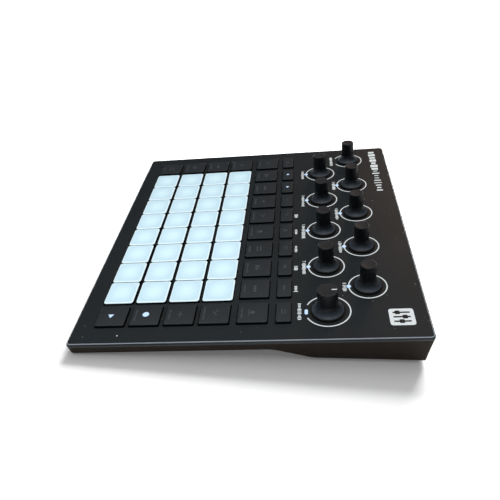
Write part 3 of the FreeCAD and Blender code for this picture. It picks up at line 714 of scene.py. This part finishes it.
def finishTree(tree, source, end, material):
    realize = tree.nodes.new("GeometryNodeRealizeInstances")
    paint = tree.nodes.new("GeometryNodeSetMaterial")
    paint.inputs["Material"].default_value = material
    tree.links.new(source, realize.inputs[0])
    tree.links.new(realize.outputs[0], paint.inputs["Geometry"])
    tree.links.new(paint.outputs["Geometry"], end.inputs["Geometry"])


def grow(name, tree, points, settings, body, matrix):  # runs a tree on points and keeps the plain mesh
    mesh = bpy.data.meshes.new(name + "_points")
    mesh.from_pydata([tuple(point) for point in points], [], [])
    seed = link(mesh, name + "_seed")
    modifier = seed.modifiers.new("grow", "NODES")
    modifier.node_group = tree
    for item in tree.interface.items_tree:
        if item.in_out == "INPUT" and item.name in settings:
            modifier[item.identifier] = settings[item.name]
    seed.update_tag()
    graph = bpy.context.evaluated_depsgraph_get()
    graph.update()
    made = bpy.data.meshes.new_from_object(seed.evaluated_get(graph))
    bpy.data.objects.remove(seed)
    made.transform(matrix)
    made.name = name
    smoothByAngle(made)
    piece = link(made, name)
    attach(piece, body)


# A flat ring on each point, open towards the player by a gap in radians; used for the printed rings and for
# the painted shade rings under the knobs.
def ringTree(material):
    tree, start, end = newTree("ring_print_and_shade", {
        "Radius": ("Float", 0.0115), "Line": ("Float", 0.0009), "Thickness": ("Float", 0.00008),
        "Gap": ("Float", 0.0)})
    arc = tree.nodes.new("GeometryNodeCurveArc")
    arc.inputs["Resolution"].default_value = 129
    tree.links.new(start.outputs["Radius"], arc.inputs["Radius"])
    half = tree.nodes.new("ShaderNodeMath")
    half.operation = "MULTIPLY_ADD"
    half.inputs[1].default_value = 0.5
    half.inputs[2].default_value = -math.pi / 2
    tree.links.new(start.outputs["Gap"], half.inputs[0])
    tree.links.new(half.outputs[0], arc.inputs["Start Angle"])
    sweep = tree.nodes.new("ShaderNodeMath")
    sweep.operation = "SUBTRACT"
    sweep.inputs[0].default_value = 2 * math.pi
    tree.links.new(start.outputs["Gap"], sweep.inputs[1])
    tree.links.new(sweep.outputs[0], arc.inputs["Sweep Angle"])
    profile = tree.nodes.new("GeometryNodeCurvePrimitiveQuadrilateral")
    tree.links.new(start.outputs["Line"], profile.inputs["Width"])
    tree.links.new(start.outputs["Thickness"], profile.inputs["Height"])
    sweepMesh = tree.nodes.new("GeometryNodeCurveToMesh")
    sweepMesh.inputs["Fill Caps"].default_value = True
    tree.links.new(arc.outputs["Curve"], sweepMesh.inputs["Curve"])
    tree.links.new(profile.outputs["Curve"], sweepMesh.inputs["Profile Curve"])
    spots = tree.nodes.new("GeometryNodeMeshToPoints")
    tree.links.new(start.outputs["Geometry"], spots.inputs["Mesh"])
    copies = tree.nodes.new("GeometryNodeInstanceOnPoints")
    tree.links.new(spots.outputs["Points"], copies.inputs["Points"])
    tree.links.new(sweepMesh.outputs["Mesh"], copies.inputs["Instance"])
    finishTree(tree, copies.outputs["Instances"], end, material)
    return tree


# A row of upright bars of uneven height, like a level meter.
def meterTree(material):
    tree, start, end = newTree("meter_marks", {
        "Count": ("Int", 8), "Pitch": ("Float", 0.0015), "Bar": ("Float", 0.0009),
        "Height": ("Float", 0.0022), "Thickness": ("Float", 0.0001), "Seed": ("Int", 0)})
    line = tree.nodes.new("GeometryNodeMeshLine")
    tree.links.new(start.outputs["Count"], line.inputs["Count"])
    step = tree.nodes.new("ShaderNodeCombineXYZ")
    tree.links.new(start.outputs["Pitch"], step.inputs["X"])
    tree.links.new(step.outputs[0], line.inputs["Offset"])
    size = tree.nodes.new("ShaderNodeCombineXYZ")
    tree.links.new(start.outputs["Bar"], size.inputs["X"])
    tree.links.new(start.outputs["Height"], size.inputs["Y"])
    tree.links.new(start.outputs["Thickness"], size.inputs["Z"])
    cube = tree.nodes.new("GeometryNodeMeshCube")
    tree.links.new(size.outputs[0], cube.inputs["Size"])
    chance = tree.nodes.new("FunctionNodeRandomValue")
    chance.data_type = "FLOAT_VECTOR"
    chance.inputs["Min"].default_value = (0.7, 0.45, 1)
    chance.inputs["Max"].default_value = (1.25, 1, 1)
    tree.links.new(start.outputs["Seed"], chance.inputs["Seed"])
    marks = tree.nodes.new("GeometryNodeInstanceOnPoints")
    tree.links.new(line.outputs["Mesh"], marks.inputs["Points"])
    tree.links.new(cube.outputs["Mesh"], marks.inputs["Instance"])
    tree.links.new(chance.outputs["Value"], marks.inputs["Scale"])
    copies = tree.nodes.new("GeometryNodeInstanceOnPoints")
    tree.links.new(start.outputs["Geometry"], copies.inputs["Points"])
    tree.links.new(marks.outputs["Instances"], copies.inputs["Instance"])
    finishTree(tree, copies.outputs["Instances"], end, material)
    return tree


printShape = {"ring": 11.5 * mm, "filterRing": 13.2 * mm, "line": 0.75 * mm, "gap": 0.95, "filterGap": 0.9,
              "macroGap": 0.16}
rings = ringTree(materials["ink"])
macroSpots = [(knobPlace[name].x, knobPlace[name].y, 0) for name in knobNames[1:9]]
openSpots = {"volume": [(knobPlace["volume_knob"].x, knobPlace["volume_knob"].y, 0)],
             "filter": [(knobPlace["filter_knob"].x, knobPlace["filter_knob"].y, 0)]}
for name, spots, radius, gap in (("rings_macro", macroSpots, "ring", "macroGap"),
                                 ("ring_volume", openSpots["volume"], "ring", "gap"),
                                 ("ring_filter", openSpots["filter"], "filterRing", "filterGap")):
    settings = {"Radius": printShape[radius], "Line": printShape["line"], "Gap": printShape[gap]}
    grow(name, rings, spots, settings, "case", panelMatrix)

# Painted shade: dark rings on the panel under and just past the knob skirts.
shadeRings = ringTree(materials["darkInkAndShade"])
shadeRingShape = {"inner": 4.0 * mm, "past": 1.1 * mm, "thickness": 0.04 * mm, "gap": 0.002}
for name, kind, spots in (("wells_macro", "macro", macroSpots + openSpots["volume"]),
                          ("well_filter", "filter", openSpots["filter"])):
    outer = knobShape[kind]["skirt"] + shadeRingShape["past"]
    settings = {"Radius": (outer + shadeRingShape["inner"]) / 2, "Line": outer - shadeRingShape["inner"],
                "Thickness": shadeRingShape["thickness"], "Gap": shadeRingShape["gap"]}
    grow(name, shadeRings, spots, settings, "case", panelMatrix)

meters = meterTree(materials["ink"])
labelShape = {
    "height": 2.7 * mm, "pitch": 1.22 * mm, "bar": 0.8 * mm, "digit": 3.2 * mm, "digitRise": 0.05 * mm,
    "digitGap": 1.5 * mm, "shift": 1.6 * mm, "over": 7.1 * mm,
}
knobLabels = {  # bars in each label, and how far below the knob's middle it stands
    "volume_knob": (13, 14.1), "filter_knob": (12, 16.6),
    "macro_knob_1": (10, 14.4), "macro_knob_2": (9, 14.1), "macro_knob_3": (12, 14.4),
    "macro_knob_4": (11, 14.1), "macro_knob_5": (13, 14.4), "macro_knob_6": (9, 14.1),
    "macro_knob_7": (10, 14.4), "macro_knob_8": (5, 14.1),
}


def makeDigit(number, x, y, size):  # one plain numeral on the panel
    curve = bpy.data.curves.new("digit_%d" % number, "FONT")
    curve.body = str(number)
    curve.size = size
    curve.align_x = "CENTER"
    curve.align_y = "CENTER"
    curve.extrude = labelShape["digitRise"]
    curve.resolution_u = 4
    item = bpy.data.objects.new(curve.name, curve)
    bpy.context.scene.collection.objects.link(item)
    graph = bpy.context.evaluated_depsgraph_get()
    graph.update()
    mesh = bpy.data.meshes.new_from_object(item.evaluated_get(graph))
    bpy.data.objects.remove(item)
    mesh.transform(at(x, y))
    mesh.materials.clear()
    mesh.materials.append(materials["ink"])
    digit = link(mesh, "numeral_%d" % number)
    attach(digit, "case")


def makeMeter(name, x, y, count, pitch, width, height, seed):
    grow(name, meters, [(x - (count - 1) * pitch / 2, y, 0)],
         {"Count": count, "Pitch": pitch, "Bar": width, "Height": height, "Seed": seed}, "case", panelMatrix)


labelledColumns = (3, 4, 5, 6, 7)

# The two words of the title, as bars: name, x, bars, pitch, width (all in mm) and seed.
titleWords = [("title_bold", -94.8, 7, 5.1, 3.6, 41), ("title_light", -59.4, 9, 4.0, 1.5, 43)]
titleY = 93.9 * mm
titleHeight = 6.3 * mm


def makeLabels():
    for index, name in enumerate(knobNames):
        count, below = knobLabels[name]
        place = knobPlace[name]
        numbered = name.startswith("macro")
        shift = labelShape["shift"] if numbered else 0
        makeMeter("label_" + name, place.x + shift, place.y - below * mm, count, labelShape["pitch"],
                  labelShape["bar"], labelShape["height"], index)
        if numbered:
            left = place.x + shift - count / 2 * labelShape["pitch"] - labelShape["digitGap"]
            makeDigit(index, left, place.y - below * mm, labelShape["digit"])
    for index, column in enumerate(labelledColumns):
        makeMeter("label_column_%d" % (column + 1), columnsX[column], smallY + labelShape["over"],
                  4 + index % 3, labelShape["pitch"], labelShape["bar"], labelShape["height"], 20 + index)
    for word, x, count, pitch, width, seed in titleWords:
        makeMeter(word, x * mm, titleY, count, pitch * mm, width * mm, titleHeight, seed)


makeLabels()


lightShape = {
    "radius": 1.4 * mm, "rise": 0.12 * mm, "width": 4.3 * mm, "depth": 1.9 * mm, "corner": 0.9 * mm,
    "off": 0.6 * mm,
}
spotShape = {"radius": 0.4 * mm, "rise": 0.1 * mm, "x": 15.8 * mm, "y": 6.7 * mm}


def makeLights():
    edit = bmesh.new()
    for name in knobNames[1:9]:
        place = knobPlace[name]
        seat = at(place.x, place.y - printShape["ring"])
        slabFrom(edit, disc(lightShape["radius"], 24), seat, lightShape["rise"])
    place = knobPlace["filter_knob"]
    seat = at(place.x + lightShape["off"], place.y - printShape["filterRing"] + lightShape["off"])
    outline = bar(lightShape["width"], lightShape["depth"], corner=lightShape["corner"])
    slabFrom(edit, outline, seat, lightShape["rise"])
    ridingMark(edit, "knob_lights", "glow", "case")
    spot = bmesh.new()
    seat = at(sideX + spotShape["x"], rowsY[0] + spotShape["y"])
    slabFrom(spot, disc(spotShape["radius"], 16), seat, spotShape["rise"])
    ridingMark(spot, "front_spot", "ink", "case")


# A plate with a generic sign on it: three sliders, each a thin bar with a cap at its level.
badgeShape = {
    "x": 102.6 * mm, "y": 89.0 * mm, "width": 13.8 * mm, "depth": 14.0 * mm, "corner": 1.6 * mm,
    "rise": 0.06 * mm, "levels": (-2.2 * mm, 1.8 * mm, -0.4 * mm), "pitch": 3.7 * mm,
    "bar": (1.2 * mm, 9.6 * mm), "barRise": 0.09 * mm, "cap": (3.1 * mm, 2.9 * mm), "capCorner": 0.6 * mm,
    "capRise": 0.11 * mm,
}


def makeBadge():
    edit = bmesh.new()
    seat = at(badgeShape["x"], badgeShape["y"])
    plate = bar(badgeShape["width"], badgeShape["depth"], corner=badgeShape["corner"])
    slabFrom(edit, plate, seat, badgeShape["rise"])
    ridingMark(edit, "badge_plate", "ink", "case")
    sign = bmesh.new()
    for index, level in enumerate(badgeShape["levels"]):
        x = (index - 1) * badgeShape["pitch"]
        slabFrom(sign, bar(*badgeShape["bar"], x, 0), seat, badgeShape["barRise"])
        cap = bar(*badgeShape["cap"], x, level, badgeShape["capCorner"])
        slabFrom(sign, cap, seat, badgeShape["capRise"])
    ridingMark(sign, "badge_sign", "darkInkAndShade", "case")


makeLights()
makeBadge()
print("printing done")


# Case parts: CAD shells with softened edges.

def soften(name, material, width, body="case", angle=32):
    source = nodes[name]
    edit = bmesh.new()
    edit.from_mesh(source.data)
    bmesh.ops.remove_doubles(edit, verts=edit.verts, dist=0.01 * mm)
    bmesh.ops.dissolve_limit(edit, angle_limit=math.radians(1.5), verts=edit.verts, edges=edit.edges)
    mesh = bpy.data.meshes.new("soft_" + name)
    edit.to_mesh(mesh)
    edit.free()
    shell = link(mesh, "soft_" + name)
    bevel = shell.modifiers.new("edges", "BEVEL")
    bevel.width = width
    bevel.segments = 2
    bevel.limit_method = "ANGLE"
    bevel.angle_limit = math.radians(angle)
    bevel.use_clamp_overlap = True
    graph = bpy.context.evaluated_depsgraph_get()
    graph.update()
    made = bpy.data.meshes.new_from_object(shell.evaluated_get(graph))
    bpy.data.objects.remove(shell)
    made.materials.clear()
    made.materials.append(material)
    smoothByAngle(made, 12)
    piece = link(made, "soft_" + name)
    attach(piece, body)
    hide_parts(name)
    return piece


# The faces of the sloping band: within a margin of the side faces, leaning, and not far below the panel.
chamferShape = {"margin": 2.5 * mm, "reach": 3.5 * mm, "leanMin": 0.3, "leanMax": 0.93}


def paintChamfer(piece):
    piece.data.materials.append(materials["panelEdge"])
    halfWidth = max(abs(corner.x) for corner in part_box("top_case"))
    for face in piece.data.polygons:
        centre, lean = toPanel @ face.center, face.normal.dot(panelNormal)
        outer = abs(centre.x) > halfWidth - chamferShape["margin"] or abs(centre.y) > panelReach
        leaning = chamferShape["leanMin"] < lean < chamferShape["leanMax"]
        if outer and leaning and centre.z > -edgeDrop:
            face.material_index = 1


panelReach = max(abs((toPanel @ corner).y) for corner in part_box("top_case")) - chamferShape["reach"]
paintChamfer(soften("top_case", materials["panel"], 0.18 * mm))
soften("bottom_case", materials["case"], 0.25 * mm)
soften("rear_panel", materials["case"], 0.15 * mm)
for name, material in (("key_mat", "mat"), ("key_board", "board"), ("main_board", "board"),
                       ("battery_pack", "wrap"), ("encoder_bodies", "steel"), ("midi_sockets", "socket"),
                       ("audio_jacks", "socket"), ("usb_socket", "steel"), ("feet", "foot"),
                       ("case_screws", "screw"), ("power_button", "key")):
    for slot in nodes[name].material_slots:
        slot.material = materials[material]
print("case parts done")


# Floor, lights and camera.

floorShape = {"half": 4.0, "glow": 0.12}


def makeStage():
    edit = bmesh.new()
    bmesh.ops.create_grid(edit, x_segments=1, y_segments=1, size=floorShape["half"])
    mesh = bpy.data.meshes.new("floor")
    edit.to_mesh(mesh)
    edit.free()
    material, tree, shader = newMaterial("floor_paper", 0.9, specular=0.0)
    shade = ramp(tree, noise(tree, 30, 3), [(0.3, (0.93, 0.93, 0.93)), (0.7, (0.95, 0.95, 0.95))])
    tree.links.new(shade, shader.inputs["Base Color"])
    shader.inputs["Emission Color"].default_value = (1, 1, 1, 1)
    shader.inputs["Emission Strength"].default_value = floorShape["glow"]
    mesh.materials.append(material)
    floor = link(mesh, "floor")
    return floor


def makeLight(name, place, size, power, colour=(1, 1, 1), target=(0, 0, 0.01), sizeY=None, shines=None):
    lamp = bpy.data.lights.new(name, "AREA")
    lamp.shape = "RECTANGLE"
    lamp.size = size
    lamp.size_y = sizeY or size
    lamp.energy = power
    lamp.color = colour
    item = bpy.data.objects.new(name, lamp)
    bpy.context.scene.collection.objects.link(item)
    item.location = place
    item.rotation_euler = (Vector(target) - Vector(place)).to_track_quat("-Z", "Y").to_euler()
    if shines:
        item.light_linking.receiver_collection = shines


cameraView = {
    "lens": 39.82, "sensor": 36, "place": (0.3414, 0.02452, 0.23683), "turn": (54.698, 1.368, 94.063),
}


def makeCamera():
    lens = bpy.data.cameras.new("camera")
    lens.lens = cameraView["lens"]
    lens.sensor_width = cameraView["sensor"]
    lens.clip_start = 0.01
    camera = bpy.data.objects.new("camera", lens)
    bpy.context.scene.collection.objects.link(camera)
    camera.location = cameraView["place"]
    camera.rotation_euler = [math.radians(angle) for angle in cameraView["turn"]]
    bpy.context.scene.camera = camera


worldColour = (0.92, 0.96, 1, 1)
worldStrength = 0.07


def makeLighting(floor):
    paper = bpy.data.collections.new("paper_only")
    paper.objects.link(floor)
    product = bpy.data.collections.new("product_only")
    for item in bpy.context.scene.objects:
        if item.type == "MESH" and item != floor:
            product.objects.link(item)
    makeLight("window", (-0.86, 0.30, 0.70), 0.8, 34, shines=paper)
    makeLight("ceiling", (0.0, 0.0, 1.6), 2.4, 14.5)
    makeLight("edge_strip", (0.62, -0.05, 0.85), 0.25, 0.8, colour=(0.8, 0.9, 1.0), sizeY=0.7, shines=product)
    makeLight("warm_wall", (-1.05, 0.40, 0.52), 0.32, 0.95, colour=(1.0, 0.62, 0.42), shines=product)
    world = bpy.data.worlds.new("studio")
    world.use_nodes = True
    background = world.node_tree.nodes["Background"]
    background.inputs["Color"].default_value = worldColour
    background.inputs["Strength"].default_value = worldStrength
    bpy.context.scene.world = world
    bpy.context.scene.view_settings.view_transform = "Standard"


paperFloor = makeStage()
makeCamera()
makeLighting(paperFloor)
print("stage done")
